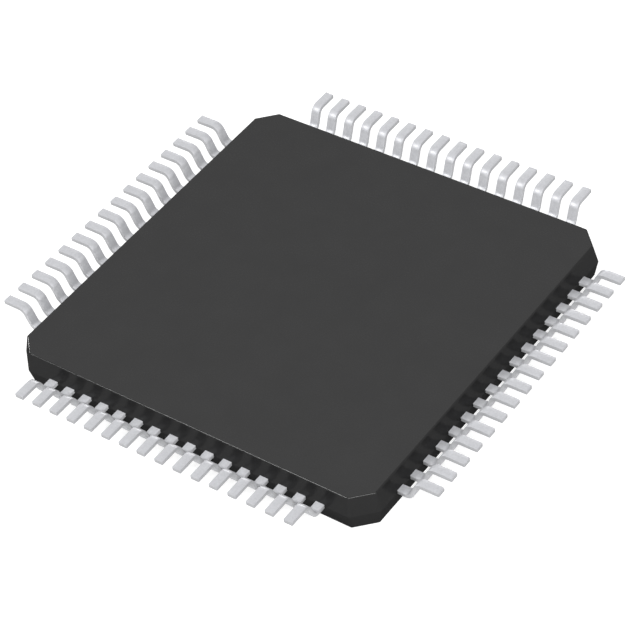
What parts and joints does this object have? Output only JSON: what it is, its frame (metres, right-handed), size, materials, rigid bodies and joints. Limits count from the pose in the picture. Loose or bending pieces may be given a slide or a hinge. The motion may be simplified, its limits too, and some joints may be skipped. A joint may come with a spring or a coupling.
{
  "type": "integrated circuit",
  "caption": "Square thin surface-mount integrated circuit: dark moulded body with gull-wing leads on all four sides, lying on its marked face with its feet up.",
  "frame": {"origin": "centre of the marked face, which the part lies on, as in the picture", "axes": "+Z from the marked face to the feet's solder plane; X and Y square to the body's sides, with lead 1 and its dimple at the +X, +Y corner and the leads numbered clockwise seen from +Z"},
  "size_m": [0.0122, 0.0122, 0.001],
  "materials": {
    "body": "satin",
    "leads": "satin",
    "paddle": "satin",
    "attach": "matte",
    "die": "gloss",
    "wires": "polished"
  },
  "bodies": {
    "root": {"body": "body", "die_paddle": "paddle", "die_attach": "attach", "die": "die", "leads_01_02": "leads", "leads_03_04": "leads", "leads_05_06": "leads", "leads_07_08": "leads", "leads_09_10": "leads", "leads_11_12": "leads", "leads_13_14": "leads", "leads_15_16": "leads", "leads_17_18": "leads", "leads_19_20": "leads", "leads_21_22": "leads", "leads_23_24": "leads", "leads_25_26": "leads", "leads_27_28": "leads", "leads_29_30": "leads", "leads_31_32": "leads", "leads_33_34": "leads", "leads_35_36": "leads", "leads_37_38": "leads", "leads_39_40": "leads", "leads_41_42": "leads", "leads_43_44": "leads", "leads_45_46": "leads", "leads_47_48": "leads", "leads_49_50": "leads", "leads_51_52": "leads", "leads_53_54": "leads", "leads_55_56": "leads", "leads_57_58": "leads", "leads_59_60": "leads", "leads_61_62": "leads", "leads_63_64": "leads", "bond_wires_01_04": "wires", "bond_wires_05_08": "wires", "bond_wires_09_12": "wires", "bond_wires_13_16": "wires", "bond_wires_17_20": "wires", "bond_wires_21_24": "wires", "bond_wires_25_28": "wires", "bond_wires_29_32": "wires", "bond_wires_33_36": "wires", "bond_wires_37_40": "wires", "bond_wires_41_44": "wires", "bond_wires_45_48": "wires", "bond_wires_49_52": "wires", "bond_wires_53_56": "wires", "bond_wires_57_60": "wires", "bond_wires_61_64": "wires"}
  },
  "joints": []
}
